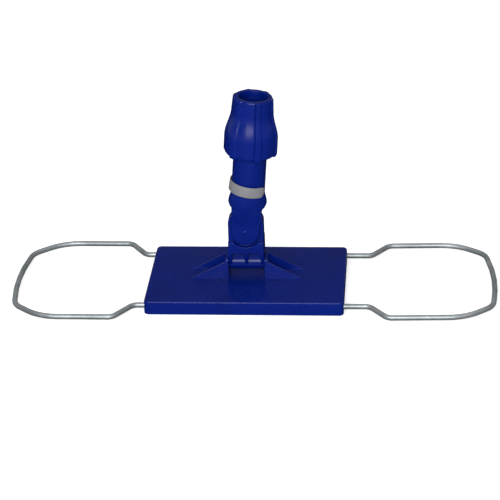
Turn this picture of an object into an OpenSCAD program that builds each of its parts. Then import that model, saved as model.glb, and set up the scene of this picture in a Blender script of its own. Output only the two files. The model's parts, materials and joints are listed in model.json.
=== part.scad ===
// Flat dust-mop frame: a centre plate with a sliding wire loop at each end, a two-way swivel
// joint, and a handle socket with a screw-down clamp collar. Millimetres, +Z up, +X along the
// plate, origin at the middle of the plate's underside. The wire loops and the socket are drawn
// at their rest places: the left loop nearly home, the right loop part way out, and the socket
// leaning a little towards +X.

/* [Plate] */
// Length of the plate along X
plate_length = 184; // [160:1:220]
// Depth of the plate along Y
plate_depth = 118; // [112:1:140]
// Height of the plate
plate_height = 13.2; // [13:0.1:16]
// Radius of the plate's upright corners
plate_corner_r = 4.5; // [3:0.5:8]
// Wall thickness of the plate's skirts
skirt_wall = 2.4; // [2:0.1:3]

/* [Hinge towers and ribs] */
// Height of the lower hinge axis above the floor
hinge_z = 26.5; // [26:0.5:32]
// Thickness of each hinge tower
tower_wall = 2.8; // [2.4:0.1:4]
// Half depth of the towers along Y
tower_half_depth = 11.1; // [10:0.1:14]
// Distance from the plate's middle to the tips of the ribs
rib_reach = 52.4; // [40:0.5:60]

/* [Swivel] */
// Width of the knuckle along X
knuckle_width = 33; // [30:0.5:36]
// Distance from the lower hinge axis to the upper one
hinge_spacing = 34.8; // [34:0.2:40]
// Radius of the steel hinge pins
pin_r = 3; // [2.5:0.25:3.5]
// Half thickness of the knuckle's tongue
tongue_half = 6.8; // [6:0.1:7.5]

/* [Handle socket] */
// Lean of the socket towards +X at rest
socket_lean = 4.5; // [0:0.1:10]
// Radius of the bore, for a 25 mm handle
handle_bore_r = 12.7; // [12:0.1:12.8]
// Outer radius of the socket's tube
tube_r = 15.5; // [15:0.1:15.8]
// Radius of the bead round the foot of the tube
bead_r = 17.9; // [17.5:0.1:19]

/* [Clamp collar] */
// Radius of the collar's panels near its foot
collar_foot_r = 23.9; // [23:0.1:26]
// Radius of the collar's panels at its mouth
collar_mouth_r = 17.6; // [17.2:0.1:19]
// How far the grip ridges stand out
ridge_height = 1; // [0.5:0.1:1.5]
// Number of grip ridges
ridge_count = 6; // [4:1:8]

/* [Wire loops] */
// Radius of the wire
wire_r = 2.5; // [2:0.1:2.5]
// Half spacing of the two legs of a loop
leg_y = 52.6; // [50:0.1:52.6]
// Length of the legs, from the kink to the bent-in foot
leg_length = 92; // [88:1:96]
// Half spacing of the left loop's rails
left_rail_y = 76.6; // [70:0.1:80]
// Half spacing of the right loop's rails
right_rail_y = 74.4; // [70:0.1:80]
// Place of the left loop's kinks, from the plate's middle
left_kink_x = 102.6; // [99:0.1:138]
// Place of the right loop's kinks, from the plate's middle
right_kink_x = 115.7; // [99:0.1:138]
// Angle by which the end of the right loop is out of square
right_loop_skew = 2; // [0:0.1:3]

/* [Hidden] */
$fn = 96;

// Colours
blue = [0.03, 0.08, 0.42];
zinc = [0.66, 0.68, 0.71];
grey = [0.55, 0.56, 0.58];
steel = [0.72, 0.73, 0.75];

eps = 0.01;
gap = 0.3;              // clearance between pieces that move past each other

// Plate
top_wall = 2.6;
deck_z = plate_height - top_wall;
cover_t = 2.4;
cover_gap = 0.2;
wire_z = plate_height / 2;
hole_r = wire_r + gap;
pad_gap = 0.3;
channel_in = leg_y - wire_r - gap;
channel_out = leg_y + wire_r + gap;
guide_wall = 2;
home_kink_x = 96.6;     // where a loop's kinks stop against the plate
foot_x_home = home_kink_x - leg_length;
travel = 42;
foot_bend_r = 5;
foot_length = 12;
straight_r = wire_r - 0.03;
bend_bite = 0.3;
guide_start = foot_x_home + travel + foot_bend_r;
screw_x = 80;
screw_y = 34;
middle_screw_y = 30;
screw_places = concat([for (x = [-screw_x, screw_x], y = [-screw_y, screw_y]) [x, y]],
                      [for (y = [-middle_screw_y, middle_screw_y]) [0, y]]);
boss_r = 3.6;
screw_r = 1.35;
screw_head_r = 2.75;
screw_head_h = 1.3;
screw_seat_z = 0.15;    // the heads sit this far inside the cover
screw_play = 0.25;
screw_tip_z = deck_z - 0.6;
stiffener_t = 2;
stiffener_y = 22;
stiffener_x = [18, 60];
stiffener_reach = 36;

// Wire loops, outward of the kinks
elbow_x = 16.4;         // where the rails begin
shoulder_x = 84;        // where the rails begin to close in
corner_x = 110.5;
corner_y = 53.4;
apex_x = 118.6;
kink_bend_r = 9;
shoulder_bend_r = 46;
corner_bend_r = 21;
apex_bend_r = 285;

// Towers
tower_in = knuckle_width / 2 + gap;
tower_out = tower_in + tower_wall;
tower_top = hinge_z + 7;
tower_edge_r = 2.5;
rib_wall = 2.2;
rib_drop = 2.9;         // how far below the tower's top a rib starts

// Swivel
barrel_r = 7;
pin_play = 0.06;        // radial running clearance of a pin in a turning part
pin_z = hinge_z + hinge_spacing;
tongue_top = 16.5;      // height of the tongue's flat top above the upper pin
tongue_corner_r = 10;
tongue_reach = norm([knuckle_width / 2, tongue_top] - [1, 1] * tongue_corner_r) + tongue_corner_r;
pocket_r = 15.5;
horn_drop = 10.5;       // how far the knuckle's shoulders stay below the upper pin
block_half = 11.5;
block_foot = hinge_z + 13.2;
side_wall = 3.1;
cheek_in = tongue_half + gap;
cheek_out = 11.8;
cheek_r = 12.7;
pin_skin = 2;           // what closes the front cheek's end of the pin hole
neck_half = 14.1;

// Socket, measured along its axis from the upper pin
slot_r = tongue_reach + 0.5;
bead_low = 22.5;
bead_mid = 27.5;
bead_high = 39;
bead_undercut = 4.8;    // how far the bead's underside draws in
bore_floor = 38;
tube_end = 108;
thread_low = 84;
thread_high = 104;
thread_r = 16.5;
seat_depth = 4;
seat_flare = 1.6;

// Collet sleeve and collar, along the same axis
seat_play = 0.15;
sleeve_low = tube_end - seat_depth + 0.6;
sleeve_high = 125;
sleeve_r = 16.1;
sleeve_slot = 2.4;
collar_low = 76;
collar_high = 131.7;
mouth_r = 13.5;
collar_bore_r = thread_r + gap;
collar_sleeve_wall = 2.4;
collar_skin = 2.4;
flare_low = 92;
flare_high = 119;
mouth_slope = 0.9;      // how much the collar still narrows above the flare
ridge_span = 17.5;      // degrees of turn that a ridge covers
ridge_first = -78;
ridge_sink = 1;
mouth_bevel = 1.2;
foot_round_r = 4;
foot_lip = 1.4;         // thickness of the skirt's turned-in foot

// Clip ring
ring_in = 16.6;
ring_wall = 1.2;
ring_height = 10.4;
ring_mid = 43.2;
ring_tilt = 5.5;
ring_start = 42;
ring_sweep = 288;

// ---- helpers -------------------------------------------------------------------------------

module box(low, high) {
    translate(low) cube(high - low);
}

module slab(length, depth, r, z0, z1) {
    translate([0, 0, z0]) linear_extrude(z1 - z0) {
        square([length - 2 * r, depth], center = true);
        square([length, depth - 2 * r], center = true);
        for (x = [-1, 1], y = [-1, 1])
            translate([x * (length / 2 - r), y * (depth / 2 - r)]) circle(r);
    }
}

module along_x(x0, x1, r, z) {
    translate([x0, 0, z]) rotate([0, 90, 0]) cylinder(h = x1 - x0, r = r);
}

module along_y(y0, y1, r, z) {
    translate([0, y0, z]) rotate([-90, 0, 0]) cylinder(h = y1 - y0, r = r);
}

// Draws its children, made on an upright axis from the upper pin, at the socket's lean.
module on_socket() {
    translate([0, 0, pin_z]) rotate([0, socket_lean, 0]) children();
}

// A cosine step from 0 to 1 as t goes from 0 to 1.
function ease(t) = (1 - cos(180 * t)) / 2;

// ---- plate ---------------------------------------------------------------------------------

module rib_pair(side) {
    rib_top = tower_top - rib_drop;
    for (y = [-1, 1])
        translate([0, y * (tower_half_depth - rib_wall / 2) + rib_wall / 2, 0])
            rotate([90, 0, 0]) linear_extrude(rib_wall)
                polygon([[side * (tower_out - 1), plate_height - 1],
                         [side * rib_reach, plate_height - 1],
                         [side * rib_reach, plate_height],
                         [side * tower_out, rib_top],
                         [side * (tower_out - 1), rib_top]]);
}

module tower(side) {
    x0 = side > 0 ? tower_in : -tower_out;
    width = 2 * (tower_half_depth - tower_edge_r);
    translate([x0, 0, 0]) rotate([90, 0, 90]) linear_extrude(tower_wall) {
        translate([-tower_half_depth, plate_height - 1])
            square([2 * tower_half_depth, tower_top - tower_edge_r - plate_height + 1]);
        translate([-width / 2, plate_height]) square([width, tower_top - plate_height]);
        for (y = [-1, 1])
            translate([y * width / 2, tower_top - tower_edge_r]) circle(tower_edge_r);
    }
}

// Guide walls, pads and the outer rubbing strip for the leg at one corner of the plate.
module leg_guide(side, row) {
    end_x = plate_length / 2 - skirt_wall;
    wall = plate_depth / 2 - skirt_wall;
    mirror([side < 0 ? 1 : 0, 0, 0]) mirror([0, row < 0 ? 1 : 0, 0]) {
        box([guide_start, channel_in - guide_wall, cover_t + cover_gap],
            [end_x + eps, channel_in, deck_z + eps]);
        box([guide_start, channel_in - eps, wire_z + wire_r + pad_gap],
            [end_x + eps, channel_out, deck_z + eps]);
        box([0, channel_out, cover_t + cover_gap], [end_x + eps, wall + eps, deck_z + eps]);
    }
}

module wire_notches(reach) {
    for (side = [-1, 1], row = [-1, 1]) {
        x0 = side > 0 ? plate_length / 2 - reach : -plate_length / 2 - 1;
        translate([x0, row * leg_y, wire_z]) rotate([0, 90, 0])
            cylinder(h = reach + 1, r = hole_r);
        box([x0, row * leg_y - hole_r, -1], [x0 + reach + 1, row * leg_y + hole_r, wire_z]);
    }
}

module stiffening_ribs() {
    half_t = stiffener_t / 2;
    for (side = [-1, 1]) {
        box([-plate_length / 2 + 1, side * stiffener_y - half_t, cover_t + cover_gap],
            [plate_length / 2 - 1, side * stiffener_y + half_t, deck_z + eps]);
        for (x = stiffener_x)
            box([side * x - half_t, -stiffener_reach, cover_t + cover_gap],
                [side * x + half_t, stiffener_reach, deck_z + eps]);
    }
}

module base_plate() {
    inner_l = plate_length - 2 * skirt_wall;
    inner_d = plate_depth - 2 * skirt_wall;
    color(blue) difference() {
        union() {
            difference() {
                slab(plate_length, plate_depth, plate_corner_r, 0, plate_height);
                slab(inner_l, inner_d, plate_corner_r - skirt_wall, -1, deck_z);
            }
            for (side = [-1, 1]) {
                tower(side);
                rib_pair(side);
                for (row = [-1, 1]) leg_guide(side, row);
            }
            stiffening_ribs();
            for (p = screw_places)
                translate([p[0], p[1], cover_t]) cylinder(h = deck_z - cover_t + eps, r = boss_r);
        }
        wire_notches(skirt_wall + gap);
        for (p = screw_places)
            translate([p[0], p[1], cover_t - 1])
                cylinder(h = screw_tip_z + gap - cover_t + 1, r = screw_r);
        along_x(-tower_out - 1, tower_out + 1, pin_r, hinge_z);
    }
}

module base_cover() {
    length = plate_length - 2 * (skirt_wall + cover_gap);
    depth = plate_depth - 2 * (skirt_wall + cover_gap);
    pad_top = wire_z - wire_r - pad_gap;
    color(blue) difference() {
        union() {
            slab(length, depth, plate_corner_r - skirt_wall, 0, cover_t);
            for (side = [-1, 1], row = [-1, 1])
                mirror([side < 0 ? 1 : 0, 0, 0]) mirror([0, row < 0 ? 1 : 0, 0]) {
                    box([guide_start, channel_in + cover_gap, cover_t - 1],
                        [plate_length / 2 - skirt_wall, channel_out - cover_gap, pad_top]);
                    box([length / 2 - 2, leg_y - hole_r + cover_gap, 0],
                        [plate_length / 2, leg_y + hole_r - cover_gap, pad_top]);
                }
        }
        for (p = screw_places) translate([p[0], p[1], 0]) {
            translate([0, 0, -1]) cylinder(h = cover_t + 2, r = screw_r + screw_play);
            translate([0, 0, -1])
                cylinder(h = 1 + screw_seat_z + screw_head_h, r = screw_head_r + screw_play);
        }
    }
}

module cover_screws() {
    color(steel) for (p = screw_places) translate([p[0], p[1], screw_seat_z]) {
        cylinder(h = screw_head_h, r = screw_head_r);
        cylinder(h = screw_tip_z - screw_seat_z, r = screw_r);
    }
}

// ---- wire loops ----------------------------------------------------------------------------

// Half of a loop's bends, from the foot to the apex: [place outward of the kink, y, bend radius].
function half_bends(rail_y) =
    [[-leg_length, leg_y, foot_bend_r], [0, leg_y, kink_bend_r], [elbow_x, rail_y, kink_bend_r],
     [shoulder_x, rail_y, shoulder_bend_r], [corner_x, corner_y, corner_bend_r]];

// Turns the loop's outer bends about the middle of the rails' start.
function skewed(p, angle) =
    p[0] <= elbow_x ? p
    : [elbow_x + (p[0] - elbow_x) * cos(angle) - p[1] * sin(angle),
       (p[0] - elbow_x) * sin(angle) + p[1] * cos(angle), p[2]];

function loop_bends(rail_y, skew) =
    let (half = half_bends(rail_y),
         last = len(half) - 1,
         back = [for (i = [last:-1:0]) [half[i][0], -half[i][1], half[i][2]]],
         apex = [apex_x, 0, apex_bend_r])
    [for (p = concat(half, [apex], back)) skewed(p, skew)];

// The angle by which a path turns at point b.
function turn_at(a, b, c) =
    let (u = [b[0] - a[0], b[1] - a[1]], v = [c[0] - b[0], c[1] - b[1]])
    atan2(u[0] * v[1] - u[1] * v[0], u[0] * v[0] + u[1] * v[1]);

// A straight run, a hair thinner than the bends, which its ends reach into.
module wire_straight(a, b, reach_a, reach_b) {
    d = b - a;
    translate([a[0], a[1], 0]) rotate([0, 0, atan2(d[1], d[0])]) rotate([0, 90, 0])
        translate([0, 0, -reach_a]) cylinder(h = norm(d) + reach_a + reach_b, r = straight_r);
}

// The bend at b of a path a, b, c.
module wire_bend(a, b, c, radius) {
    turn = turn_at(a, b, c);
    heading = atan2(b[1] - a[1], b[0] - a[0]);
    side = turn > 0 ? 1 : -1;
    start = b - radius * tan(abs(turn) / 2) * [cos(heading), sin(heading)];
    centre = start + side * radius * [-sin(heading), cos(heading)];
    translate([centre[0], centre[1], 0])
        rotate([0, 0, heading - side * 90 - (side < 0 ? abs(turn) : 0)])
            rotate_extrude(angle = abs(turn)) translate([radius, 0]) circle(wire_r);
}

// A wire path through rounded corners, each given as [x, y, bend radius].
module wire_path(points) {
    n = len(points);
    flat = [for (p = points) [p[0], p[1]]];
    setback = [for (i = [0:n - 1]) (i == 0 || i == n - 1) ? 0
               : points[i][2] * tan(abs(turn_at(flat[i - 1], flat[i], flat[i + 1])) / 2)];
    for (i = [0:n - 2]) {
        way = flat[i + 1] - flat[i];
        unit = way / norm(way);
        wire_straight(flat[i] + setback[i] * unit, flat[i + 1] - setback[i + 1] * unit,
                      i == 0 ? 0 : bend_bite, i == n - 2 ? 0 : bend_bite);
    }
    for (i = [1:n - 2])
        wire_bend(flat[i - 1], flat[i], flat[i + 1], points[i][2]);
}

module wire_loop(kink_x, rail_y, skew) {
    bends = loop_bends(rail_y, skew);
    foot = [-leg_length, leg_y - foot_length];
    path = concat([[foot[0], foot[1], 0]], bends, [[foot[0], -foot[1], 0]]);
    translate([kink_x, 0, wire_z]) wire_path(path);
}

module wire_loop_left() {
    color(zinc) rotate([0, 0, 180]) wire_loop(left_kink_x, left_rail_y, 0);
}

module wire_loop_right() {
    color(zinc) wire_loop(right_kink_x, right_rail_y, right_loop_skew);
}

// ---- swivel --------------------------------------------------------------------------------

module lower_hinge_pin() {
    color(steel) along_x(-tower_out, tower_out, pin_r, hinge_z);
}

// The pocket for a cheek and the two windows on one face of the knuckle.
module knuckle_face_cuts() {
    half = knuckle_width / 2;
    window_y = -tongue_half + 1.8;
    along_y(-block_half - 1, -tongue_half, pocket_r, pin_z);
    box([-half - 1, -block_half - 1, pin_z - horn_drop], [half + 1, -tongue_half, pin_z + tongue_top]);
    for (side = [0, 1]) mirror([side, 0, 0])
        box([side_wall / 2, -block_half - 1, hinge_z - barrel_r],
            [half - side_wall, window_y, block_foot]);
}

// The flat tongue that turns between the socket's cheeks, with rounded upper corners.
module tongue() {
    half = knuckle_width / 2;
    box([-half, -tongue_half, hinge_z], [half, tongue_half, pin_z + tongue_top - tongue_corner_r]);
    box([-half + tongue_corner_r, -tongue_half, pin_z],
        [half - tongue_corner_r, tongue_half, pin_z + tongue_top]);
    for (side = [-1, 1]) translate([side * (half - tongue_corner_r), 0, 0])
        along_y(-tongue_half, tongue_half, tongue_corner_r, pin_z + tongue_top - tongue_corner_r);
}

module knuckle() {
    half = knuckle_width / 2;
    color(blue) difference() {
        union() {
            difference() {
                union() {
                    tongue();
                    // full-depth block, with its foot cut to a slope
                    translate([-half, 0, 0]) rotate([90, 0, 90]) linear_extrude(knuckle_width)
                        polygon([[-barrel_r, hinge_z], [barrel_r, hinge_z],
                                 [block_half, block_foot - 3], [block_half, pin_z],
                                 [-block_half, pin_z], [-block_half, block_foot - 3]]);
                }
                knuckle_face_cuts();
                mirror([0, 1, 0]) knuckle_face_cuts();
            }
            along_x(-half, half, barrel_r, hinge_z);
        }
        along_x(-half - 1, half + 1, pin_r + pin_play, hinge_z);
        along_y(-block_half - 1, block_half + 1, pin_r + pin_play, pin_z);
    }
}

module upper_hinge_pin() {
    color(steel) on_socket() along_y(pin_skin - cheek_out, cheek_out, pin_r, 0);
}

// ---- handle socket -------------------------------------------------------------------------

// Outline of a cheek and the neck above it, seen along Y.
module cheek_outline() {
    circle(cheek_r);
    lean_in = asin((neck_half - cheek_r) / bead_low);
    polygon([[-cheek_r * cos(lean_in), 0], [cheek_r * cos(lean_in), 0],
             [neck_half, bead_low], [neck_half, bead_mid], [-neck_half, bead_mid],
             [-neck_half, bead_low]]);
}

// Half section of the neck, the bead and the start of the tube.
module bead_profile() {
    polygon(concat(
        [[0, bead_low], [neck_half, bead_low]],
        [for (i = [1:6]) let (a = 15 * i)
            [bead_r - bead_undercut * (1 - sin(a)), bead_mid - (bead_mid - bead_low) * cos(a)]],
        [for (i = [1:8])
            [bead_r - (bead_r - tube_r) * ease(i / 8), bead_mid + (bead_high - bead_mid) * i / 8]],
        [[0, bead_high]]));
}

module handle_socket() {
    color(blue) on_socket() difference() {
        union() {
            rotate([90, 0, 0]) translate([0, 0, -cheek_out])
                linear_extrude(2 * cheek_out) cheek_outline();
            rotate_extrude() bead_profile();
            translate([0, 0, bead_mid]) cylinder(h = tube_end - bead_mid, r = tube_r);
            translate([0, 0, thread_low]) cylinder(h = thread_high - thread_low, r = thread_r);
        }
        // slot for the tongue, with a round end
        along_y(-cheek_in, cheek_in, slot_r, 0);
        box([-slot_r, -cheek_in, -slot_r], [slot_r, cheek_in, 0]);
        // bore and its flared seat
        translate([0, 0, bore_floor]) cylinder(h = tube_end, r = handle_bore_r);
        translate([0, 0, tube_end - seat_depth])
            cylinder(h = seat_depth + eps, r1 = handle_bore_r, r2 = handle_bore_r + seat_flare);
        // pin hole, blind behind the front cheek's face
        along_y(pin_skin - cheek_out, cheek_out + 1, pin_r, 0);
    }
}

// ---- clamp ---------------------------------------------------------------------------------

module collet_sleeve() {
    seat_r = handle_bore_r + seat_flare - seat_play;
    color(blue) on_socket() difference() {
        rotate_extrude()
            polygon([[handle_bore_r, sleeve_low],
                     [seat_r - seat_flare * (tube_end - sleeve_low) / seat_depth, sleeve_low],
                     [seat_r, tube_end], [sleeve_r - 0.6, tube_end + 0.4],
                     [sleeve_r, tube_end + 1.2], [sleeve_r, tube_end + 6],
                     [handle_bore_r + 1, sleeve_high], [handle_bore_r, sleeve_high]]);
        box([0, -sleeve_slot / 2, sleeve_low - 1], [sleeve_r + 1, sleeve_slot / 2, sleeve_high + 1]);
    }
}

// Radius of the collar's panels at a height along the socket's axis.
function collar_r(z) =
    z <= flare_low ? collar_foot_r
    : z >= flare_high
        ? collar_mouth_r + mouth_slope * (collar_high - z) / (collar_high - flare_high)
    : collar_foot_r + (collar_mouth_r + mouth_slope - collar_foot_r)
        * ease((z - flare_low) / (flare_high - flare_low));

// Outer edge of the collar's section, from its foot to its mouth, grown by extra.
function collar_edge(extra) = concat(
    [for (i = [0:5]) let (a = 18 * i)
        [collar_foot_r + extra - foot_round_r * (1 - sin(a)), collar_low + foot_round_r * (1 - cos(a))]],
    [for (i = [0:10]) let (z = flare_low + (flare_high - flare_low) * i / 10) [collar_r(z) + extra, z]],
    [[collar_mouth_r + extra, collar_high - mouth_bevel],
     [collar_mouth_r + extra - mouth_bevel, collar_high]]);

// The collar's cored section: a threaded root inside a wide skirt.
module collar_section() {
    cone_low = tube_end + 6;
    root = collar_bore_r + collar_sleeve_wall;
    skirt = collar_foot_r - collar_skin;
    polygon(concat(collar_edge(0),
        [[mouth_r, collar_high], [mouth_r, sleeve_high + gap],
         [handle_bore_r + 1 + gap, sleeve_high + gap], [sleeve_r + gap, cone_low],
         [sleeve_r + gap, tube_end], [collar_bore_r, thread_high + 1],
         [collar_bore_r, collar_low + 5], [root, collar_low + 5],
         [root, flare_low + 2], [skirt, flare_low - 2], [skirt, collar_low + foot_round_r],
         [collar_foot_r - foot_round_r - foot_lip, collar_low]]));
}

// The section of one grip ridge, sunk a little into the panels.
module ridge_section() {
    polygon(concat(collar_edge(ridge_height),
        [[collar_mouth_r - ridge_sink, collar_high - mouth_bevel],
         [collar_mouth_r - ridge_sink, flare_high],
         [collar_foot_r - ridge_sink, flare_low],
         [collar_foot_r - ridge_sink, collar_low + foot_round_r],
         [collar_foot_r - foot_round_r - foot_lip / 2, collar_low]]));
}

module clamp_collar() {
    color(blue) on_socket() {
        rotate_extrude() collar_section();
        for (i = [0:ridge_count - 1])
            rotate([0, 0, ridge_first + i * 360 / ridge_count])
                rotate_extrude(angle = ridge_span) ridge_section();
    }
}

module clip_ring() {
    color(grey) on_socket() translate([0, 0, ring_mid]) rotate([0, ring_tilt, 0])
        rotate([0, 0, ring_start]) rotate_extrude(angle = ring_sweep)
            translate([ring_in, -ring_height / 2]) square([ring_wall, ring_height]);
}

base_plate();
base_cover();
cover_screws();
wire_loop_left();
wire_loop_right();
lower_hinge_pin();
knuckle();
upper_hinge_pin();
handle_socket();
collet_sleeve();
clamp_collar();
clip_ring();
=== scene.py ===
"""Looks of the dust-mop frame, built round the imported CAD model. Lengths are in millimetres unless
a comment says otherwise, and are turned into metres when a mesh is made."""
import json
import math

import bmesh
import bpy
from mathutils import Matrix, Vector


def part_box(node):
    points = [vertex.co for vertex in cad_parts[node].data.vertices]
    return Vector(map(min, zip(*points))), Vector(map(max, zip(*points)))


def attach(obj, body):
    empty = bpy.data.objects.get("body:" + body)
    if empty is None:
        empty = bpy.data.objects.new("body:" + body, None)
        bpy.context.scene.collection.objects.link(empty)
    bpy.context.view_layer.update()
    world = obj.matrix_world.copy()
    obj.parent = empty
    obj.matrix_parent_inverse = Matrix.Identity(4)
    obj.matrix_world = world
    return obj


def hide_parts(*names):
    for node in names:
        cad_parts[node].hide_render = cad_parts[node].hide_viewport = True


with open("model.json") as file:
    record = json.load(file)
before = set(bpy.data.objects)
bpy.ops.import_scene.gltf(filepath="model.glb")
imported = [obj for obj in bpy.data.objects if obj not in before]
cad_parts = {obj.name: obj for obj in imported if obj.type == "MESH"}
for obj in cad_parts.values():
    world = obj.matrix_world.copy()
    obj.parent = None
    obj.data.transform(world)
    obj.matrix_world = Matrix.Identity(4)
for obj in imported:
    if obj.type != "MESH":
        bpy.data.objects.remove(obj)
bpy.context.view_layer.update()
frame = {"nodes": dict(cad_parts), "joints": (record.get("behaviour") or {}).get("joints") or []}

MM = 0.001
JOINTS = {j["name"]: j for j in frame["joints"]}
COLLAR_AXIS = Vector(JOINTS["collar_turn"]["axis"])
LEAN = math.atan2(COLLAR_AXIS.x, COLLAR_AXIS.z)
PIN_Z = JOINTS["swivel_side"]["pos_m"][2] / MM
HINGE_Z = JOINTS["swivel_fore_aft"]["pos_m"][2] / MM
PLATE_LOW, PLATE_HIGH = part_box("base_plate")

# Turns and lifts a piece made upright from the upper pin to the socket's lean.
SOCKET_PLACE = Matrix.Translation((0, 0, PIN_Z)) @ Matrix.Rotation(LEAN, 4, "Y")


# ---- mesh helpers ---------------------------------------------------------------------------

def new_object(name, points, faces, place=Matrix.Identity(4)):
    """A mesh object from points in millimetres, moved by place."""
    mesh = bpy.data.meshes.new(name)
    mesh.from_pydata([tuple((place @ Vector(p)) * MM) for p in points], [], faces)
    bm = bmesh.new()
    bm.from_mesh(mesh)
    bmesh.ops.remove_doubles(bm, verts=bm.verts, dist=1e-7)
    bmesh.ops.recalc_face_normals(bm, faces=bm.faces)
    bm.to_mesh(mesh)
    bm.free()
    obj = bpy.data.objects.new(name, mesh)
    bpy.context.scene.collection.objects.link(obj)
    return obj


def evaluated(obj):
    """Applies an object's modifiers to its mesh."""
    bpy.context.view_layer.update()
    graph = bpy.context.evaluated_depsgraph_get()
    mesh = bpy.data.meshes.new_from_object(obj.evaluated_get(graph))
    obj.modifiers.clear()
    old = obj.data
    obj.data = mesh
    bpy.data.meshes.remove(old)
    return obj


def combine(base, others, operation):
    """Joins or cuts base with each of the others, which are used up."""
    for other in others:
        cut = base.modifiers.new(operation.lower(), "BOOLEAN")
        cut.operation = operation
        cut.solver = "EXACT"
        cut.object = other
        evaluated(base)
        bpy.data.objects.remove(other)
    return base


def round_edges(obj, width, segments=3, limit=35):
    """Rounds the edges that turn by more than limit degrees."""
    bevel = obj.modifiers.new("round", "BEVEL")
    bevel.width = width * MM
    bevel.segments = segments
    bevel.limit_method = "ANGLE"
    bevel.angle_limit = math.radians(limit)
    bevel.miter_outer = "MITER_ARC"
    bevel.use_clamp_overlap = True
    return evaluated(obj)


def smooth(obj, angle=40):
    """Smooth shading, with edges sharper than angle left crisp."""
    obj.data.shade_smooth()
    obj.data.set_sharp_from_angle(angle=math.radians(angle))
    return obj


def loft(name, loops, place=Matrix.Identity(4), caps=True, ring=False):
    """Skins a row of closed loops that have the same number of points."""
    count = len(loops[0])
    points = [p for loop in loops for p in loop]
    faces = []
    spans = len(loops) if ring else len(loops) - 1
    for i in range(spans):
        here, there = i * count, ((i + 1) % len(loops)) * count
        for j in range(count):
            k = (j + 1) % count
            faces.append((here + j, here + k, there + k, there + j))
    if caps and not ring:
        faces.append(tuple(range(count)))
        faces.append(tuple(range(len(points) - count, len(points))))
    return new_object(name, points, faces, place)


def revolve(name, profile, steps, place=Matrix.Identity(4)):
    """Turns a closed profile of (radius, height) points about Z."""
    loops = []
    for i in range(steps):
        a = 2 * math.pi * i / steps
        loops.append([(r * math.cos(a), r * math.sin(a), z) for r, z in profile])
    return loft(name, loops, place, ring=True)


def prism(name, outline, low, high, axis, rim=0.0, place=Matrix.Identity(4)):
    """Extrudes an outline along "X", "Y" or "Z", with its rims rounded by rim."""
    def at(u, v, w):
        return {"X": (w, u, v), "Y": (u, w, v), "Z": (u, v, w)}[axis]
    obj = loft(name, [[at(u, v, w) for u, v in outline] for w in (low, high)], place)
    if rim:
        bm = bmesh.new()
        bm.from_mesh(obj.data)
        caps = [f for f in bm.faces if len(f.verts) == len(outline)]
        edges = {e for f in caps for e in f.edges}
        bmesh.ops.bevel(bm, geom=list(edges), offset=rim * MM, segments=4, profile=0.5,
                        affect="EDGES", clamp_overlap=True)
        bm.to_mesh(obj.data)
        bm.free()
    return obj


def block(name, low, high, place=Matrix.Identity(4)):
    """A plain box between two corners."""
    (x0, y0, z0), (x1, y1, z1) = low, high
    return prism(name, [(x0, y0), (x1, y0), (x1, y1), (x0, y1)], z0, z1, "Z", place=place)


def arc(cx, cy, r, start, end, steps):
    """Points on an arc, in degrees, both ends included."""
    angles = [math.radians(start + (end - start) * i / steps) for i in range(steps + 1)]
    return [(cx + r * math.cos(a), cy + r * math.sin(a)) for a in angles]


def circle(r, steps=64, cx=0.0, cy=0.0):
    return arc(cx, cy, r, 0, 360, steps)[:-1]


def rounded_rectangle(half_x, half_y, r, steps=6):
    """Outline of a rectangle with rounded corners, counter-clockwise."""
    points = []
    for cx, cy, start in ((half_x - r, half_y - r, 0), (r - half_x, half_y - r, 90),
                          (r - half_x, r - half_y, 180), (half_x - r, r - half_y, 270)):
        points += arc(cx, cy, r, start, start + 90, steps)
    return points


def ease(t):
    """A cosine step from 0 to 1 as t goes from 0 to 1."""
    t = min(max(t, 0.0), 1.0)
    return (1 - math.cos(math.pi * t)) / 2


def mixed(a, b, t):
    return a + (b - a) * t


# ---- plate ----------------------------------------------------------------------------------

PLATE_X = PLATE_HIGH.x / MM
PLATE_Y = PLATE_HIGH.y / MM
PLATE_TOP = 13.2
CORNER_R = 4.5
TOP_EDGE_R = 1.3
FOOT_EDGE = 0.5
SKIRT = 2.4
DECK = 10.6
COVER = 2.6
LEG_Y = 52.6
WIRE_Z = PLATE_TOP / 2
WIRE_HOLE_R = 2.8
TOWER_IN = 16.8
TOWER_OUT = 19.6
TOWER_HALF = 11.1
TOWER_TOP = PLATE_HIGH.z / MM
TOWER_CORNER_R = 2.5
RIB_REACH = 52.4
RIB_WALL = 2.2
RIB_TOP = TOWER_TOP - 2.9
# How far towers and ribs reach down into the plate, and ribs into a tower, so that they join.
SINK = 1
RIB_SINK = 0.8
# A rib's slope carried on down from the plate's top to its sunk foot.
RIB_TOE = 2.2
# The walls beside the wire legs, and the pads above the legs.
GUIDE_X = 51.6
GUIDE_IN = 47.8
GUIDE_OUT = 49.8
PAD_OUT = 55.4
PAD_LOW = 9.4
OUTER_WALL_X = 1.0
STIFFENER_YS = (-22, 22)
STIFFENER_XS = (-60, -18, 18, 60)
STIFFENER_REACH = 36
# How far the inner walls run into the skirt and the deck, so that they join.
SEAM = 0.1
PIN_R = 3.0
AXLE_PLAY = 0.03


def plate_body():
    """The plate's box with its top edge rounded over and its foot eased."""
    heights = [(0.0, FOOT_EDGE), (0.15, 0.15), (FOOT_EDGE, 0.0), (PLATE_TOP - TOP_EDGE_R, 0.0)]
    for i in range(1, 7):
        a = math.radians(15 * i)
        heights.append((PLATE_TOP - TOP_EDGE_R * (1 - math.sin(a)),
                        TOP_EDGE_R * (1 - math.cos(a))))
    loops = []
    for z, inset in heights:
        outline = rounded_rectangle(PLATE_X - inset, PLATE_Y - inset, CORNER_R - inset, 8)
        loops.append([(x, y, z) for x, y in outline])
    return loft("base_plate_shell", loops)


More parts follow.
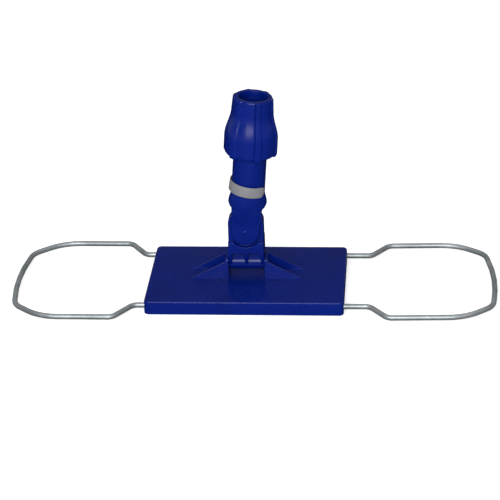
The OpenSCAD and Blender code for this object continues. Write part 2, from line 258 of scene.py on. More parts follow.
def tower(side):
    """One hinge tower, its top corners and rims rounded."""
    r = TOWER_CORNER_R
    outline = ([(-TOWER_HALF, PLATE_TOP - SINK), (TOWER_HALF, PLATE_TOP - SINK)]
               + arc(TOWER_HALF - r, TOWER_TOP - r, r, 0, 90, 6)
               + arc(r - TOWER_HALF, TOWER_TOP - r, r, 90, 180, 6))
    low, high = (TOWER_IN, TOWER_OUT) if side > 0 else (-TOWER_OUT, -TOWER_IN)
    return prism("tower", outline, low, high, "X", rim=0.5)


def rib(side, row):
    """One triangular rib from a tower down to the plate."""
    outer = row * TOWER_HALF
    inner = row * (TOWER_HALF - RIB_WALL)
    root = TOWER_OUT - RIB_SINK
    outline = [(side * root, PLATE_TOP - SINK), (side * (RIB_REACH + RIB_TOE), PLATE_TOP - SINK),
               (side * RIB_REACH, PLATE_TOP), (side * TOWER_OUT, RIB_TOP), (side * root, RIB_TOP)]
    return prism("rib", outline, min(outer, inner), max(outer, inner), "Y", rim=0.45)


def guides():
    """Walls and pads inside the plate that lead the wire legs, and its stiffening ribs."""
    walls = []
    end_x, wall_y = PLATE_X - SKIRT + SEAM, PLATE_Y - SKIRT + SEAM
    top = DECK + SEAM
    spans = ((GUIDE_X, GUIDE_IN, GUIDE_OUT, COVER),
             (GUIDE_X, GUIDE_OUT - 0.01, PAD_OUT, PAD_LOW),
             (OUTER_WALL_X, PAD_OUT, wall_y, COVER))
    for side in (-1, 1):
        for row in (-1, 1):
            for x0, y0, y1, z0 in spans:
                xs = sorted((side * x0, side * end_x))
                ys = sorted((row * y0, row * y1))
                walls.append(block("guide", (xs[0], ys[0], z0), (xs[1], ys[1], top)))
    for y in STIFFENER_YS:
        walls.append(block("stiffener", (-PLATE_X + 1, y - 1, COVER), (PLATE_X - 1, y + 1, top)))
    for x in STIFFENER_XS:
        walls.append(block("stiffener", (x - 1, -STIFFENER_REACH, COVER),
                           (x + 1, STIFFENER_REACH, top)))
    return walls


def wire_slot(side, row):
    """Cutter for the round-topped slot that a wire leg passes through."""
    outline = ([(row * LEG_Y - WIRE_HOLE_R, -1), (row * LEG_Y + WIRE_HOLE_R, -1)]
               + arc(row * LEG_Y, WIRE_Z, WIRE_HOLE_R, 0, 180, 16))
    near, far = PLATE_X - SKIRT - 1, PLATE_X + 1
    low, high = (near, far) if side > 0 else (-far, -near)
    return prism("slot", outline, low, high, "X")


def build_base_plate():
    plate = plate_body()
    cavity = block("cavity", (SKIRT - PLATE_X, SKIRT - PLATE_Y, -1),
                   (PLATE_X - SKIRT, PLATE_Y - SKIRT, DECK))
    combine(plate, [cavity], "DIFFERENCE")
    combine(plate, [tower(s) for s in (-1, 1)], "UNION")
    combine(plate, [rib(s, r) for s in (-1, 1) for r in (-1, 1)], "UNION")
    combine(plate, guides(), "UNION")
    combine(plate, [wire_slot(s, r) for s in (-1, 1) for r in (-1, 1)], "DIFFERENCE")
    axle = prism("axle_hole", circle(PIN_R + AXLE_PLAY, 48, 0, HINGE_Z),
                 -TOWER_OUT - 1, TOWER_OUT + 1, "X")
    combine(plate, [axle], "DIFFERENCE")
    return smooth(plate, 20)


# ---- wire loops -----------------------------------------------------------------------------

WIRE_R = 2.5
WIRE_TIP = 0.6
WIRE_SIDES = 24
LEG_LENGTH = 92
FOOT_LENGTH = 12
# A loop's bends: their distance outward of the kink, and the radius of each.
FOOT_BEND_R = 5
KINK_R = 9
KINK_RUN = 16.4
RAIL_END = 84
RAIL_BEND_R = 46
CORNER_X = 110.5
CORNER_Y = 53.4
CORNER_BEND_R = 21
BOW_X = 118.6
BOW_R = 285
# Bends further out than this turn with a loop that is out of square.
SKEW_FROM = 50
# Each loop's kink at rest, and the half width of its rails.
LEFT_KINK_X = 102.6
LEFT_RAIL_Y = 76.6
RIGHT_KINK_X = 115.7
RIGHT_RAIL_Y = 74.4
RIGHT_SKEW = math.radians(2)


def corner_points(before, corner, after, radius):
    """Points along the rounded corner of a path."""
    into = (Vector(corner) - Vector(before)).normalized()
    out = (Vector(after) - Vector(corner)).normalized()
    turn = -into.angle_signed(out)
    setback = radius * math.tan(abs(turn) / 2)
    start = Vector(corner) - into * setback
    side = 1 if turn > 0 else -1
    normal = Vector((-into.y, into.x)) * side
    centre = start + normal * radius
    steps = max(4, round(math.degrees(abs(turn)) / 4))
    spoke = start - centre
    points = []
    for i in range(steps + 1):
        a = turn * i / steps
        points.append(centre + Vector((spoke.x * math.cos(a) - spoke.y * math.sin(a),
                                       spoke.x * math.sin(a) + spoke.y * math.cos(a))))
    return points


def loop_path(rail_y, skew):
    """The centre line of a wire loop from foot to foot, measured from its kink."""
    half = [(-LEG_LENGTH, LEG_Y, FOOT_BEND_R), (0, LEG_Y, KINK_R), (KINK_RUN, rail_y, KINK_R),
            (RAIL_END, rail_y, RAIL_BEND_R), (CORNER_X, CORNER_Y, CORNER_BEND_R)]
    bends = half + [(BOW_X, 0, BOW_R)] + [(x, -y, r) for x, y, r in reversed(half)]
    turned = []
    for x, y, r in bends:
        if x > SKEW_FROM:
            dx = x - KINK_RUN
            x = KINK_RUN + dx * math.cos(skew) - y * math.sin(skew)
            y = dx * math.sin(skew) + y * math.cos(skew)
        turned.append((x, y, r))
    foot = LEG_Y - FOOT_LENGTH
    ends = (-LEG_LENGTH, foot), (-LEG_LENGTH, -foot)
    corners = [ends[0]] + [(x, y) for x, y, r in turned] + [ends[1]]
    path = [Vector(ends[0])]
    for i, (x, y, r) in enumerate(turned):
        path += corner_points(corners[i], corners[i + 1], corners[i + 2], r)
    path.append(Vector(ends[1]))
    return path


def build_wire_loop(name, kink_x, rail_y, skew, direction):
    """Sweeps a round section along a loop's path, with rounded tips."""
    path = loop_path(rail_y, skew)
    loops = []

    def ring(at, heading, radius):
        normal = Vector((-heading.y, heading.x))
        points = []
        for j in range(WIRE_SIDES):
            a = 2 * math.pi * j / WIRE_SIDES
            p = at + normal * radius * math.cos(a)
            points.append((direction * (p.x + kink_x), direction * p.y,
                           WIRE_Z + radius * math.sin(a)))
        return points

    last = len(path) - 1
    for i, p in enumerate(path):
        before, after = path[max(i - 1, 0)], path[min(i + 1, last)]
        heading = (after - before).normalized()
        if i == 0:
            loops += [ring(p, heading, WIRE_R - WIRE_TIP),
                      ring(p + heading * WIRE_TIP, heading, WIRE_R)]
        elif i == last:
            loops += [ring(p - heading * WIRE_TIP, heading, WIRE_R),
                      ring(p, heading, WIRE_R - WIRE_TIP)]
        else:
            loops.append(ring(p, heading, WIRE_R))
    return smooth(loft(name, loops), 50)


# ---- knuckle --------------------------------------------------------------------------------

KNUCKLE_HALF = 16.5
TONGUE_HALF = 6.8
TONGUE_CORNER_R = 10.0
BLOCK_HALF = 11.5
BLOCK_FOOT = HINGE_Z + 13.2
BLOCK_SLOPE_TOP = BLOCK_FOOT - 3
BARREL_R = 7.0
POCKET_R = 15.5
HORN_DROP = 10.5
SIDE_WALL = 3.1
WINDOW_FLOOR = 5.0
PIN_PLAY = 0.06


def window_cutters():
    """Cutters for the two windows in each face of the knuckle's block."""
    cutters = []
    for row in (-1, 1):
        y0, y1 = sorted((row * WINDOW_FLOOR, row * (BLOCK_HALF + 1)))
        for x0, x1 in ((SIDE_WALL / 2, KNUCKLE_HALF - SIDE_WALL),
                       (SIDE_WALL - KNUCKLE_HALF, -SIDE_WALL / 2)):
            cutters.append(block("window", (x0, y0, HINGE_Z - BARREL_R), (x1, y1, BLOCK_FOOT)))
    return cutters


def build_knuckle():
    """The swivel's middle link: a flat round tongue over a windowed block and a barrel."""
    corner = KNUCKLE_HALF - TONGUE_CORNER_R
    tongue = ([(-KNUCKLE_HALF, HINGE_Z), (KNUCKLE_HALF, HINGE_Z)]
              + arc(corner, PIN_Z + corner, TONGUE_CORNER_R, 0, 90, 20)
              + arc(-corner, PIN_Z + corner, TONGUE_CORNER_R, 90, 180, 20))
    knuckle = prism("knuckle_link", tongue, -TONGUE_HALF, TONGUE_HALF, "Y", rim=0.9)
    side_view = [(-BARREL_R, HINGE_Z), (BARREL_R, HINGE_Z), (BLOCK_HALF, BLOCK_SLOPE_TOP),
                 (BLOCK_HALF, PIN_Z - HORN_DROP), (-BLOCK_HALF, PIN_Z - HORN_DROP),
                 (-BLOCK_HALF, BLOCK_SLOPE_TOP)]
    shoulders = prism("shoulders", side_view, -KNUCKLE_HALF, KNUCKLE_HALF, "X")
    pockets = []
    for row in (-1, 1):
        y0, y1 = sorted((row * (TONGUE_HALF + 0.001), row * (BLOCK_HALF + 1)))
        pockets.append(prism("pocket", circle(POCKET_R, 96, 0, PIN_Z), y0, y1, "Y"))
    combine(shoulders, pockets + window_cutters(), "DIFFERENCE")
    round_edges(shoulders, 0.35, 3, 40)
    combine(knuckle, window_cutters(), "DIFFERENCE")
    barrel = prism("barrel", circle(BARREL_R, 72, 0, HINGE_Z),
                   -KNUCKLE_HALF, KNUCKLE_HALF, "X", rim=0.5)
    combine(knuckle, [shoulders, barrel], "UNION")
    lower = prism("lower_bore", circle(PIN_R + PIN_PLAY, 48, 0, HINGE_Z),
                  -KNUCKLE_HALF - 1, KNUCKLE_HALF + 1, "X")
    upper = prism("upper_bore", circle(PIN_R + PIN_PLAY, 48, 0, PIN_Z),
                  -BLOCK_HALF - 1, BLOCK_HALF + 1, "Y")
    combine(knuckle, [lower, upper], "DIFFERENCE")
    return smooth(knuckle, 30)


# ---- handle socket --------------------------------------------------------------------------

CHEEK_R = 12.7
CHEEK_IN = 7.1
CHEEK_OUT = 11.8
NECK_HALF = 14.1
# Clears the tongue's corners as it turns.
TONGUE_PLAY = 0.5
SLOT_R = (math.hypot(KNUCKLE_HALF - TONGUE_CORNER_R, KNUCKLE_HALF - TONGUE_CORNER_R)
          + TONGUE_CORNER_R + TONGUE_PLAY)
# The part of the front cheek left closed over the upper pin, and the pin's play in its hole.
PIN_SKIN = 2
CHEEK_PIN_PLAY = 0.02
THROAT_LOW = 2.0
ROUND_LOW = 17.8
BEAD_LOW = 22.5
BEAD_MID = 27.5
BEAD_HIGH = 39.0
BEAD_R = 17.9
BEAD_DEPTH = 16.3
BEAD_UNDERCUT = 5.4
TUBE_R = 15.5
TUBE_END = 108.0
BORE_R = 12.7
BORE_FLOOR = 38.0
THREAD_LOW = 84.0
THREAD_HIGH = 104.0
THREAD_R = 16.5
THREAD_RUN_IN = 1.2
TUBE_CHAMFER = 0.6
SEAT_DEPTH = 4.0
SEAT_FLARE = 1.6
PIP_R = 2.6
PIP_BASE_R = 1.7
PIP_HEIGHT = 0.55
PIP_SINK = 0.3


def throat_half_width(z):
    """Half width of the neck and the bead along X at a height."""
    if z <= BEAD_LOW:
        return mixed(CHEEK_R, NECK_HALF, z / BEAD_LOW) - 0.15 * min(1, BEAD_LOW - z)
    cos_a = (BEAD_MID - z) / (BEAD_MID - BEAD_LOW)
    return max(NECK_HALF, BEAD_R - BEAD_UNDERCUT * (1 - math.sqrt(1 - cos_a ** 2)))


def throat_half_depth(z):
    """Half depth of the neck and the bead along Y, leaning out evenly from cheeks to bead."""
    if z > BEAD_MID:
        return mixed(BEAD_DEPTH, TUBE_R, ease((z - BEAD_MID) / (BEAD_HIGH - BEAD_MID)))
    t = (z - THROAT_LOW) / (BEAD_MID - THROAT_LOW)
    lean = 2 * t * t if t < 0.25 else t - 0.125
    return mixed(CHEEK_OUT - 0.1, BEAD_DEPTH, lean / 0.875)


def build_throat():
    """The neck, the bead and the tube in one skin, from nearly square to round."""
    steps = 96

    def oval(wide, deep, z):
        turns = [2 * math.pi * i / steps for i in range(steps)]
        return [(wide * math.cos(a), deep * math.sin(a), z) for a in turns]

    heights = [mixed(THROAT_LOW, BEAD_LOW, i / 8) for i in range(8)]
    heights += [BEAD_MID - (BEAD_MID - BEAD_LOW) * math.cos(math.radians(7.5 * i))
                for i in range(13)]
    loops = []
    for z in heights:
        wide, deep = throat_half_width(z), throat_half_depth(z)
        power = mixed(6.0, 2.0, ease((z - ROUND_LOW) / (BEAD_MID - ROUND_LOW)) ** 0.5)
        loop = []
        for i in range(steps):
            c, s = math.cos(2 * math.pi * i / steps), math.sin(2 * math.pi * i / steps)
            reach = (abs(c / wide) ** power + abs(s / deep) ** power) ** (-1 / power)
            loop.append((reach * c, reach * s, z))
        loops.append(loop)
    for k in range(1, 11):
        z = mixed(BEAD_MID, BEAD_HIGH, k / 10)
        wide, deep = mixed(BEAD_R, TUBE_R, ease(k / 10)), throat_half_depth(z)
        loops.append(oval(wide, deep, z))
    tube = [(TUBE_R, THREAD_LOW - THREAD_RUN_IN), (THREAD_R, THREAD_LOW), (THREAD_R, THREAD_HIGH),
            (TUBE_R, THREAD_HIGH + 1), (TUBE_R, TUBE_END - TUBE_CHAMFER),
            (TUBE_R - TUBE_CHAMFER, TUBE_END)]
    loops += [oval(r, r, z) for r, z in tube]
    return loft("throat", loops)


def build_pip():
    """The small moulding pip in the middle of the front cheek."""
    angles = [math.radians(a) for a in (40, 32, 24, 16, 8, 1)]
    dome = [(PIP_R * math.sin(a), PIP_HEIGHT - PIP_R * (1 - math.cos(a))) for a in angles]
    place = Matrix.Translation((0, -CHEEK_OUT, 0)) @ Matrix.Rotation(math.pi / 2, 4, "X")
    return revolve("pip", [(0.01, -PIP_SINK), (PIP_BASE_R, -PIP_SINK)] + dome, 24, place)


def build_handle_socket():
    """Two cheeks either side of the slot for the tongue, the throat above them, and the bore."""
    lean_in = math.asin((NECK_HALF - CHEEK_R) / BEAD_LOW)
    outline = ([(NECK_HALF, BEAD_LOW), (-NECK_HALF, BEAD_LOW)]
               + arc(0, 0, CHEEK_R, 180 + math.degrees(lean_in),
                     360 - math.degrees(lean_in), 40))
    socket = prism("handle_socket_body", outline, -CHEEK_OUT, CHEEK_OUT, "Y", rim=1.0)
    combine(socket, [build_throat()], "UNION")
    slot = prism("slot", circle(SLOT_R, 96), -CHEEK_IN, CHEEK_IN, "Y")
    gap = block("gap", (-SLOT_R, -CHEEK_IN, -SLOT_R), (SLOT_R, CHEEK_IN, 0))
    bore = revolve("bore", [(0.01, BORE_FLOOR), (BORE_R, BORE_FLOOR),
                            (BORE_R, TUBE_END - SEAT_DEPTH), (BORE_R + SEAT_FLARE, TUBE_END),
                            (BORE_R + SEAT_FLARE, TUBE_END + 1), (0.01, TUBE_END + 1)], 96)
    pin_hole = prism("pin_hole", circle(PIN_R + CHEEK_PIN_PLAY, 48),
                     PIN_SKIN - CHEEK_OUT, CHEEK_OUT + 1, "Y")
    combine(socket, [slot, gap, bore, pin_hole], "DIFFERENCE")
    combine(socket, [build_pip()], "UNION")
    socket.data.transform(Matrix.Translation((0, 0, PIN_Z * MM)) @ Matrix.Rotation(LEAN, 4, "Y"))
    return smooth(socket, 30)


# ---- collar, sleeve and ring ----------------------------------------------------------------

COLLAR_LOW = 76.0
COLLAR_HIGH = 131.7
FOOT_R = 23.9
FOOT_ROUND = 4.0
FOOT_LIP = 1.4
MOUTH_OUT_R = 17.6
MOUTH_SLOPE = 0.9
MOUTH_R = 13.5
FLARE_LOW = 92.0
FLARE_HIGH = 119.0
RIDGE = 1.0
RIDGE_COUNT = 6
RIDGE_FIRST = -78.0
RIDGE_SPAN = 17.5
RIDGE_FOOT_ROUND = 2.2
# The spans in degrees of a ridge's sharp side, its soft side and the groove before it, and
# the groove's depth as a share of the ridge's height.
SHARP_SIDE = 1.4
SOFT_SIDE = 4.2
GROOVE_SPAN = 2.6
GROOVE_SIDE = 1.6
GROOVE_DEPTH = 0.45
MOUTH_ROUND = 1.4
COLLAR_SKIN = 2.4
COLLAR_PLAY = 0.3
COLLAR_BORE = THREAD_R + COLLAR_PLAY
CORE_STEP = 2.4
CORE_LOW = COLLAR_LOW + 5
SLEEVE_R = 16.1
SLEEVE_HIGH = 125.0
SLEEVE_CONE_LOW = TUBE_END + 6
SLEEVE_TOE = 3.4
SLEEVE_SLOT_HALF = 1.2


def ridge_rise(angle):
    """How far a ridge stands out at an angle: a groove, a sharp side, a flat top, a soft side."""
    turn = (angle - RIDGE_FIRST) % (360 / RIDGE_COUNT)
    groove = turn - 360 / RIDGE_COUNT
    if groove > -GROOVE_SPAN:
        return -GROOVE_DEPTH * ease((groove + GROOVE_SPAN) / GROOVE_SIDE)
    if turn < SHARP_SIDE:
        return mixed(-GROOVE_DEPTH, 1.0, ease(turn / SHARP_SIDE))
    return 1.0 - min(max((turn - RIDGE_SPAN + SOFT_SIDE) / SOFT_SIDE, 0.0), 1.0)


def collar_radius(z):
    """Radius of the collar's panels at a height."""
    t = (z - FLARE_LOW) / (FLARE_HIGH - FLARE_LOW)
    slope = MOUTH_SLOPE * min(1, (COLLAR_HIGH - z) / (COLLAR_HIGH - FLARE_HIGH))
    return mixed(FOOT_R, MOUTH_OUT_R + slope, ease(t))


def build_clamp_collar():
    """One closed section per angle, carried round the axis."""
    steps = 720
    low, high = COLLAR_LOW + FOOT_ROUND, COLLAR_HIGH - MOUTH_ROUND
    heights = [mixed(low, high, i / 44) for i in range(45)]
    loops = []
    for i in range(steps):
        angle = 360 * i / steps
        rise = ridge_rise(angle)
        up = max(rise, 0.0)
        rounding = mixed(FOOT_ROUND, RIDGE_FOOT_ROUND, up)
        profile = []
        for k in range(8):
            a = math.radians(90 * k / 8)
            profile.append((FOOT_R + RIDGE * rise - rounding * (1 - math.sin(a)),
                            COLLAR_LOW + rounding * (1 - math.cos(a))))
        profile += [(collar_radius(z) + RIDGE * rise, z) for z in heights]
        top = collar_radius(COLLAR_HIGH) + RIDGE * rise
        for k in range(1, 6):
            a = math.radians(18 * k)
            profile.append((top - MOUTH_ROUND * (1 - math.cos(a)),
                            COLLAR_HIGH - MOUTH_ROUND * (1 - math.sin(a))))
        profile += [(MOUTH_R + 0.7, COLLAR_HIGH), (MOUTH_R + 0.2, COLLAR_HIGH - 0.2),
                    (MOUTH_R, COLLAR_HIGH - 0.7), (MOUTH_R, SLEEVE_HIGH + COLLAR_PLAY),
                    (BORE_R + 1.3, SLEEVE_HIGH + COLLAR_PLAY),
                    (SLEEVE_R + COLLAR_PLAY, SLEEVE_CONE_LOW), (SLEEVE_R + COLLAR_PLAY, TUBE_END),
                    (COLLAR_BORE, THREAD_HIGH + 1), (COLLAR_BORE, CORE_LOW),
                    (COLLAR_BORE + CORE_STEP, CORE_LOW), (COLLAR_BORE + CORE_STEP, FLARE_LOW + 2),
                    (FOOT_R - COLLAR_SKIN, FLARE_LOW - 2),
                    (FOOT_R - COLLAR_SKIN, COLLAR_LOW + FOOT_ROUND),
                    (FOOT_R - FOOT_ROUND - FOOT_LIP, COLLAR_LOW)]
        c, s = math.cos(math.radians(angle)), math.sin(math.radians(angle))
        loops.append([(r * c, r * s, z) for r, z in profile])
    return smooth(loft("clamp_collar_nut", loops, SOCKET_PLACE, ring=True), 50)


def build_collet_sleeve():
    """The split sleeve: a closed section swept from one side of its slot to the other."""
    toe = TUBE_END - SLEEVE_TOE
    profile = [(BORE_R, toe), (BORE_R + 0.08, toe), (BORE_R + 1.4, TUBE_END - 0.1),
               (SLEEVE_R - 0.6, TUBE_END + 0.4), (SLEEVE_R, TUBE_END + 1.2),
               (SLEEVE_R, SLEEVE_CONE_LOW), (BORE_R + 1.1, SLEEVE_HIGH - 0.4),
               (BORE_R + 0.7, SLEEVE_HIGH), (BORE_R + 0.3, SLEEVE_HIGH),
               (BORE_R, SLEEVE_HIGH - 0.4)]
    half_slot = math.degrees(SLEEVE_SLOT_HALF / SLEEVE_R)
    loops = []
    for i in range(91):
        a = math.radians(mixed(half_slot, 360 - half_slot, i / 90))
        loops.append([(r * math.cos(a), r * math.sin(a), z) for r, z in profile])
    return smooth(loft("collet_sleeve_split", loops, SOCKET_PLACE), 35)


RING_IN = 16.6
RING_WALL = 1.2
RING_HEIGHT = 10.4
RING_MID = 43.2
RING_TILT = 5.5
RING_START = 42.0
RING_SWEEP = 288.0
RING_RIM = 0.5
RING_END_R = 4.0


def build_clip_ring():
    """A C-shaped band with rounded rims and rounded free ends."""
    rim = RING_RIM
    outer = RING_IN + RING_WALL
    steps = 120
    loops = []
    for i in range(steps + 1):
        a = RING_START + RING_SWEEP * i / steps
        near = min(a - RING_START, RING_START + RING_SWEEP - a) * math.pi / 180 * RING_IN
        cut = 0.0
        if near < RING_END_R:
            cut = RING_END_R - math.sqrt(max(RING_END_R ** 2 - (RING_END_R - near) ** 2, 0.0))
        half = RING_HEIGHT / 2 - cut
        section = [(RING_IN, half - rim), (RING_IN, rim - half), (RING_IN + rim, -half),
                   (outer - rim, -half), (outer - 0.1, -half + 0.2), (outer, rim - half),
                   (outer, half - rim), (outer - 0.1, half - 0.2), (outer - rim, half),
                   (RING_IN + rim, half)]
        c, s = math.cos(math.radians(a)), math.sin(math.radians(a))
        loops.append([(r * c, r * s, z) for r, z in section])
    tilt = Matrix.Rotation(math.radians(RING_TILT), 4, "Y")
    place = SOCKET_PLACE @ Matrix.Translation((0, 0, RING_MID)) @ tilt
    return smooth(loft("clip_ring_band", loops, place), 40)


# ---- screws ---------------------------------------------------------------------------------

SCREW_PLACES = [(x, y) for x in (-80, 80) for y in (-34, 34)] + [(0, -30), (0, 30)]
SCREW_TURN = 25
CROSS_LONG = 1.35
CROSS_WIDE = 0.3
CROSS_DEPTH = 1.05


def build_cover_screws():
    """Pan heads with a cross recess, and plain shanks."""
    screws = []
    profile = [(0.01, 0.15), (1.9, 0.15), (2.5, 0.4), (2.75, 0.9), (2.75, 1.45), (1.35, 1.45),
               (1.35, 9.0), (0.4, 10.0), (0.01, 10.0)]
    for x, y in SCREW_PLACES:
        place = Matrix.Translation((x, y, 0))
        screw = revolve("screw", profile, 40, place)
        turn = place @ Matrix.Rotation(math.radians(SCREW_TURN), 4, "Z")
        cross = [block("cross", (-a, -b, -0.5), (a, b, CROSS_DEPTH), turn)
                 for a, b in ((CROSS_LONG, CROSS_WIDE), (CROSS_WIDE, CROSS_LONG))]
        screws.append(combine(screw, cross, "DIFFERENCE"))
    bm = bmesh.new()
    for screw in screws:
        bm.from_mesh(screw.data)
    group = screws[0]
    bm.to_mesh(group.data)
    bm.free()
    for screw in screws[1:]:
        bpy.data.objects.remove(screw)
    group.name = "cover_screw_set"
    return smooth(group, 30)


# ---- materials ------------------------------------------------------------------------------

class Shader:
    """A principled material whose nodes are added one by one."""

    def __init__(self, name):
        self.material = bpy.data.materials.new(name)
        self.material.use_nodes = True
        self.tree = self.material.node_tree
        self.tree.nodes.clear()
        self.out = self.node("ShaderNodeOutputMaterial")
        self.bsdf = self.node("ShaderNodeBsdfPrincipled")
        self.link(self.bsdf, "BSDF", self.out, "Surface")
        self.coords = self.node("ShaderNodeTexCoord")

    def node(self, kind, **values):
        node = self.tree.nodes.new(kind)
        for key, value in values.items():
            setattr(node, key, value)
        return node

    def link(self, a, out, b, into):
        self.tree.links.new(a.outputs[out], b.inputs[into])

    def set(self, **values):
        for key, value in values.items():
            self.bsdf.inputs[key.replace("_", " ")].default_value = value

    def noise(self, scale, detail=3.0, roughness=0.55, stretch=(1, 1, 1)):
        """A noise texture in the piece's own coordinates; scale is in grains per metre."""
        mapping = self.node("ShaderNodeMapping")
        mapping.inputs["Scale"].default_value = stretch
        self.link(self.coords, "Object", mapping, "Vector")
        noise = self.node("ShaderNodeTexNoise")
        noise.inputs["Scale"].default_value = scale
        noise.inputs["Detail"].default_value = detail
        noise.inputs["Roughness"].default_value = roughness
        self.link(mapping, "Vector", noise, "Vector")
        return noise

    def ramp(self, source, output, stops):
        """A colour ramp of (place, value or colour) stops."""
        ramp = self.node("ShaderNodeValToRGB")
        elements = ramp.color_ramp.elements
        while len(elements) < len(stops):
            elements.new(0.5)
        for element, (place, value) in zip(elements, stops):
            element.position = place
            colour = (value, value, value) if isinstance(value, (int, float)) else value
            element.color = (*colour, 1)
        self.link(source, output, ramp, "Fac")
        return ramp

    def bump(self, source, output, distance, strength=1.0, under=None):
        bump = self.node("ShaderNodeBump")
        bump.inputs["Distance"].default_value = distance
        bump.inputs["Strength"].default_value = strength
        self.link(source, output, bump, "Height")
        if under:
            self.link(under, "Normal", bump, "Normal")
        return bump


def blue_plastic():
    """Deep ultramarine moulded plastic: a slight drift in tone, faint streaks in the gloss and a
    very slight ripple."""
    s = Shader("blue_plastic")
    tone = s.noise(35, 4)
    colour = s.ramp(tone, "Fac", [(0.3, (0.0, 0.0064, 0.108)), (0.7, (0.0001, 0.0082, 0.134))])
    s.link(colour, "Color", s.bsdf, "Base Color")
    scuffs = s.noise(120, 6, 0.7, (1, 6, 1))
    gloss = s.ramp(scuffs, "Fac", [(0.35, 0.26), (0.62, 0.28), (0.8, 0.31)])
    s.link(gloss, "Color", s.bsdf, "Roughness")
    peel = s.noise(700, 2, 0.5)
    wave = s.noise(60, 1, 0.5)
    ripple = s.bump(wave, "Fac", 0.000015, 0.4)
    skin = s.bump(peel, "Fac", 0.000002, 0.4, ripple)
    s.link(skin, "Normal", s.bsdf, "Normal")
    s.set(IOR=1.46, Specular_IOR_Level=0.22)
    return s.material


def zinc_wire():
    """Drawn steel wire with zinc plating: streaks, dull patches and a fine grain."""
    s = Shader("zinc_wire")
    patches = s.noise(45, 5, 0.6)
    colour = s.ramp(patches, "Fac", [(0.3, (0.22, 0.245, 0.255)), (0.55, (0.32, 0.35, 0.365)),
                                     (0.75, (0.44, 0.47, 0.485))])
    s.link(colour, "Color", s.bsdf, "Base Color")
    streaks = s.noise(160, 5, 0.65, (1, 3, 6))
    gloss = s.ramp(streaks, "Fac", [(0.3, 0.4), (0.7, 0.58)])
    s.link(gloss, "Color", s.bsdf, "Roughness")
    grain = s.noise(900, 3, 0.6)
    skin = s.bump(grain, "Fac", 0.00002, 0.5)
    s.link(skin, "Normal", s.bsdf, "Normal")
    s.set(Metallic=0.75)
    return s.material


def grey_band():
    """Matt grey flexible plastic with a fine grain."""
    s = Shader("grey_band")
    tone = s.noise(60, 4)
    colour = s.ramp(tone, "Fac", [(0.3, (0.138, 0.142, 0.151)), (0.7, (0.158, 0.162, 0.172))])
    s.link(colour, "Color", s.bsdf, "Base Color")
    grain = s.noise(1600, 3, 0.6)
    gloss = s.ramp(grain, "Fac", [(0.3, 0.55), (0.7, 0.7)])
    s.link(gloss, "Color", s.bsdf, "Roughness")
    skin = s.bump(grain, "Fac", 0.00003, 0.6)
    s.link(skin, "Normal", s.bsdf, "Normal")
    s.set(IOR=1.45, Specular_IOR_Level=0.4)
    return s.material


def turned_steel(name, tint):
    """Bright steel of the pins and screws, with a fine grain and a few dull spots."""
    s = Shader(name)
    spots = s.noise(260, 4)
    colour = s.ramp(spots, "Fac", [(0.3, tuple(c * 0.8 for c in tint)), (0.7, tint)])
    s.link(colour, "Color", s.bsdf, "Base Color")
    grain = s.noise(1200, 2, 0.5)
    gloss = s.ramp(grain, "Fac", [(0.3, 0.22), (0.7, 0.38)])
    s.link(gloss, "Color", s.bsdf, "Roughness")
    skin = s.bump(grain, "Fac", 0.00001, 0.5)
    s.link(skin, "Normal", s.bsdf, "Normal")
    s.set(Metallic=1.0)
    return s.material


# ---- stage ----------------------------------------------------------------------------------

# In metres: a hair under the object, so that the two never share a plane.
FLOOR_Z = -0.0002
# In metres: how far out the floor has turned pale in reflections.
FLOOR_FADE = 2.5


def stage():
    """A plain pale floor that the object stands on. It looks dim in reflections near the object,
    as a grey table would, and pale further out."""
    half = 3000
    floor = new_object("floor", [(-half, -half, 0), (half, -half, 0), (half, half, 0),
                                 (-half, half, 0)], [(0, 1, 2, 3)])
    floor.location.z = FLOOR_Z
    s = Shader("pale_floor")
    tone = s.noise(3, 2)
    colour = s.ramp(tone, "Fac", [(0.3, 0.88), (0.7, 0.9)])
    s.link(colour, "Color", s.bsdf, "Base Color")
    s.set(Roughness=0.95, Specular_IOR_Level=0.0)
    s.bsdf.inputs["Emission Color"].default_value = (1, 1, 1, 1)
    path = s.node("ShaderNodeLightPath")
    glow = s.node("ShaderNodeMath", operation="MULTIPLY")
    glow.inputs[1].default_value = 0.4
    s.link(path, "Is Camera Ray", glow, 0)
    s.link(glow, "Value", s.bsdf, "Emission Strength")
    dim = s.node("ShaderNodeEmission")
    far = s.node("ShaderNodeVectorMath", operation="LENGTH")
    s.link(s.coords, "Object", far, 0)
    reach = s.node("ShaderNodeMath", operation="DIVIDE")
    reach.inputs[1].default_value = FLOOR_FADE
    s.link(far, "Value", reach, 0)
    fade = s.ramp(reach, "Value", [(0.4, 0.008), (1.0, 0.45)])
    s.link(fade, "Color", dim, "Color")
    mix = s.node("ShaderNodeMixShader")
    s.link(path, "Is Glossy Ray", mix, "Fac")
    s.link(s.bsdf, "BSDF", mix, 1)
    s.link(dim, "Emission", mix, 2)
    s.link(mix, "Shader", s.out, "Surface")
    floor.data.materials.append(s.material)


def softbox(name, place, target, size, power):
    """A rectangular lamp, in metres and watts, that the camera doesn't see."""
    lamp = bpy.data.lights.new(name, "AREA")
    lamp.shape = "RECTANGLE"
    lamp.size, lamp.size_y = size
    lamp.energy = power
    obj = bpy.data.objects.new(name, lamp)
    obj.location = place
    obj.rotation_euler = (Vector(target) - Vector(place)).to_track_quat("-Z", "Y").to_euler()
    obj.visible_camera = False
    bpy.context.scene.collection.objects.link(obj)


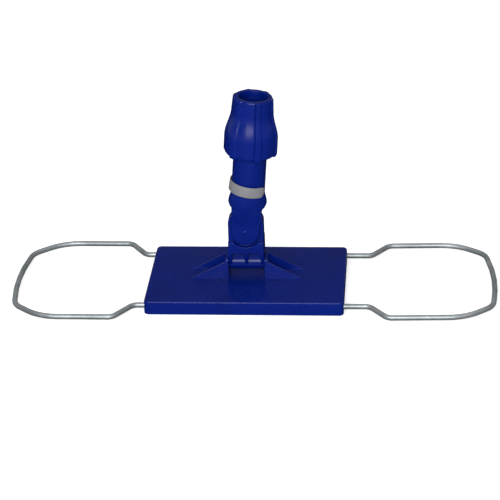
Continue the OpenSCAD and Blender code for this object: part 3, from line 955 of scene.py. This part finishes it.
def lights():
    """A pale room that lights the object evenly and one softbox. In reflections the room is dim
    but for its ceiling and a pale horizon."""
    world = bpy.data.worlds.new("studio")
    bpy.context.scene.world = world
    world.use_nodes = True
    tree = world.node_tree
    out = next(n for n in tree.nodes if n.type == "OUTPUT_WORLD")
    room = next(n for n in tree.nodes if n.type == "BACKGROUND")
    room.inputs["Color"].default_value = (1, 1, 1, 1)
    room.inputs["Strength"].default_value = 0.6
    mirrored = tree.nodes.new("ShaderNodeBackground")
    coords = tree.nodes.new("ShaderNodeTexCoord")
    split = tree.nodes.new("ShaderNodeSeparateXYZ")
    ramp = tree.nodes.new("ShaderNodeValToRGB")
    tree.links.new(coords.outputs["Generated"], split.inputs["Vector"])
    tree.links.new(split.outputs["Z"], ramp.inputs["Fac"])
    bands = ((0.0, 0.55), (0.07, 0.5), (0.22, 0.085), (0.55, 0.085), (0.92, 0.9))
    while len(ramp.color_ramp.elements) < len(bands):
        ramp.color_ramp.elements.new(0.5)
    for element, (place, value) in zip(ramp.color_ramp.elements, bands):
        element.position = place
        element.color = (value, value, value, 1)
    tree.links.new(ramp.outputs["Color"], mirrored.inputs["Color"])
    path = tree.nodes.new("ShaderNodeLightPath")
    mix = tree.nodes.new("ShaderNodeMixShader")
    tree.links.new(path.outputs["Is Glossy Ray"], mix.inputs["Fac"])
    tree.links.new(room.outputs["Background"], mix.inputs[1])
    tree.links.new(mirrored.outputs["Background"], mix.inputs[2])
    tree.links.new(mix.outputs["Shader"], out.inputs["Surface"])
    softbox("key", (-0.06, -1.45, 0.83), (0, 0, 0.05), (1.05, 0.75), 30)


def camera():
    """The view, in metres: from in front, a little to the right and well above, slightly rolled."""
    azimuth, elevation, roll = (math.radians(a) for a in (4.9, 26.0, -1.85))
    target = Vector((-0.0037, 0.0775, 0))
    distance = 1.959
    back = Vector((math.sin(azimuth) * math.cos(elevation),
                   -math.cos(azimuth) * math.cos(elevation), math.sin(elevation)))
    right = Vector((math.cos(azimuth), math.sin(azimuth), 0))
    up = back.cross(right)
    tilted_right = right * math.cos(roll) + up * math.sin(roll)
    tilted_up = up * math.cos(roll) - right * math.sin(roll)
    turn = Matrix((tilted_right, tilted_up, back)).transposed().to_4x4()
    data = bpy.data.cameras.new("camera")
    data.lens = 144.0
    data.sensor_width = 36.0
    data.clip_end = 20
    cam = bpy.data.objects.new("camera", data)
    cam.matrix_world = Matrix.Translation(target + back * distance) @ turn
    bpy.context.scene.collection.objects.link(cam)
    bpy.context.scene.camera = cam


# ---- assembly -------------------------------------------------------------------------------

def place_piece(piece, body, node, material):
    """Gives a piece its material and its body, and hides the CAD node that it stands for."""
    piece.data.materials.clear()
    piece.data.materials.append(material)
    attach(piece, body)
    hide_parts(node)


def dress(node, material):
    """Gives a CAD node a material."""
    mesh = frame["nodes"][node].data
    mesh.materials.clear()
    mesh.materials.append(material)


def main():
    bpy.context.scene.view_settings.view_transform = "Standard"
    camera()
    lights()
    stage()
    blue = blue_plastic()
    zinc = zinc_wire()
    place_piece(build_base_plate(), "plate", "base_plate", blue)
    left = build_wire_loop("loop_left_wire", LEFT_KINK_X, LEFT_RAIL_Y, 0.0, -1)
    place_piece(left, "loop_left", "wire_loop_left", zinc)
    right = build_wire_loop("loop_right_wire", RIGHT_KINK_X, RIGHT_RAIL_Y, RIGHT_SKEW, 1)
    place_piece(right, "loop_right", "wire_loop_right", zinc)
    place_piece(build_knuckle(), "knuckle", "knuckle", blue)
    place_piece(build_handle_socket(), "socket", "handle_socket", blue)
    place_piece(build_clamp_collar(), "collar", "clamp_collar", blue)
    place_piece(build_collet_sleeve(), "sleeve", "collet_sleeve", blue)
    place_piece(build_clip_ring(), "ring", "clip_ring", grey_band())
    place_piece(build_cover_screws(), "plate", "cover_screws",
                turned_steel("screw_steel", (0.55, 0.56, 0.58)))
    steel = turned_steel("pin_steel", (0.6, 0.61, 0.63))
    dress("lower_hinge_pin", steel)
    dress("upper_hinge_pin", steel)
    dress("base_cover", blue)


main()
